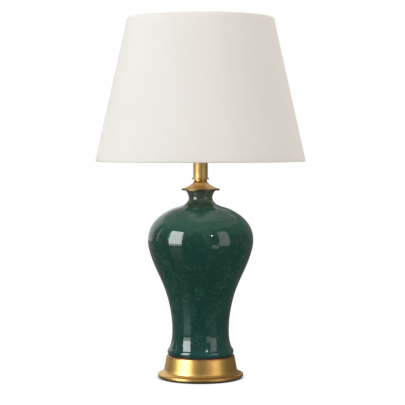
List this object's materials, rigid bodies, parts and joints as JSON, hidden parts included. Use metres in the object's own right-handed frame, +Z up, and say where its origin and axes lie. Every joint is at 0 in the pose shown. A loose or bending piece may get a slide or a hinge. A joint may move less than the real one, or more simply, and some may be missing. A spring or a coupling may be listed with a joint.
{
  "type": "table lamp",
  "caption": "Table lamp with a green glazed baluster jar, brass foot and neck, harp, screw-in bulb and tapered white fabric shade.",
  "frame": {"origin": "centre of the pad's underside, on the table", "axes": "+Z up along the lamp's axis, -Y towards the front, +X to the right; the harp lies in the XZ plane"},
  "size_m": [0.3592, 0.359, 0.6201],
  "materials": {
    "felt": "dense black felt pad",
    "brass": "satin brushed brass",
    "grommet": "soft black rubber",
    "gasket": "soft rubber",
    "jar_glaze": "glossy deep green crackle glaze",
    "zinc": "zinc-plated steel",
    "harp_brass": "brass-plated wire",
    "phenolic": "black moulded phenolic",
    "fibre": "brown insulating fibre",
    "shell_metal": "thin rolled metal shell",
    "bulb_glass": "frosted white glass",
    "linen": "warm white fine linen-look cloth",
    "liner": "translucent white backing sheet",
    "white_wire": "white powder-coated wire"
  },
  "bodies": {
    "root": {"base_pad": "felt", "base_foot": "brass", "cord_grommet": "grommet", "foot_gasket": "gasket", "ceramic_jar": "jar_glaze", "threaded_pipe": "zinc", "bottom_nut": "zinc", "lock_washer": "zinc", "bottom_washer": "zinc", "neck_gasket": "gasket", "neck_cap": "brass", "check_ring": "brass", "neck_tube": "brass", "tube_washer": "brass", "harp_saddle": "harp_brass", "saddle_nut": "zinc", "socket_cap": "brass", "socket_set_screw": "zinc", "pipe_bushing": "phenolic", "socket_body": "phenolic", "terminal_screws": "harp_brass", "screw_shell": "shell_metal", "centre_contact": "harp_brass", "socket_insulator": "fibre", "socket_shell": "brass"},
    "switch": {"switch_stem": "phenolic", "switch_knob": "phenolic"},
    "bulb_foot": {"bulb_contact": "zinc", "bulb_insulator": "phenolic"},
    "bulb": {"bulb_base": "shell_metal", "bulb_glass": "bulb_glass"},
    "harp": {"harp_loop": "harp_brass"},
    "ferrule_left": {"ferrule_left": "harp_brass"},
    "ferrule_right": {"ferrule_right": "harp_brass"},
    "harp_stud": {"harp_stud": "harp_brass"},
    "shade": {"shade_cover": "linen", "shade_liner": "liner", "shade_fitter": "white_wire", "shade_bottom_ring": "white_wire"},
    "finial_base": {"finial_base": "brass"},
    "finial": {"finial_ball": "brass"}
  },
  "joints": [
    {"name": "switch_turn", "type": "hinge", "parent": "root", "child": "switch", "pos_m": [0, -0.0198, 0.41174], "axis": [0, -1, 0], "continuous": true},
    {"name": "bulb_lift", "type": "slide", "parent": "root", "child": "bulb_foot", "axis": [0, 0, 1], "range_m": [0, 0.0164]},
    {"name": "bulb_turn", "type": "hinge", "parent": "bulb_foot", "child": "bulb", "pos_m": [0, 0, 0.42394], "axis": [0, 0, 1], "range_deg": [0, 1620]},
    {"name": "harp_lift", "type": "slide", "parent": "root", "child": "harp", "axis": [0, 0, 1], "range_m": [0, 0.018]},
    {"name": "ferrule_left_lift", "type": "slide", "parent": "harp", "child": "ferrule_left", "axis": [0, 0, 1], "range_m": [0, 0.0125]},
    {"name": "ferrule_right_lift", "type": "slide", "parent": "harp", "child": "ferrule_right", "axis": [0, 0, 1], "range_m": [0, 0.0125]},
    {"name": "shade_swivel", "type": "hinge", "parent": "harp", "child": "harp_stud", "pos_m": [0, 0, 0.59644], "axis": [0, 0, 1], "continuous": true},
    {"name": "shade_lift", "type": "slide", "parent": "harp_stud", "child": "shade", "axis": [0, 0, 1], "range_m": [0, 0.24]},
    {"name": "finial_lift", "type": "slide", "parent": "shade", "child": "finial_base", "axis": [0, 0, 1], "range_m": [0, 0.0085]},
    {"name": "finial_turn", "type": "hinge", "parent": "finial_base", "child": "finial", "pos_m": [0, 0, 0.59814], "axis": [0, 0, 1], "range_deg": [0, 3240]}
  ],
  "couplings": [
    {"joint": "bulb_lift", "follows": "bulb_turn", "m_per_rad": 0.0005775},
    {"joint": "finial_lift", "follows": "finial_turn", "m_per_rad": 0.00014972}
  ]
}
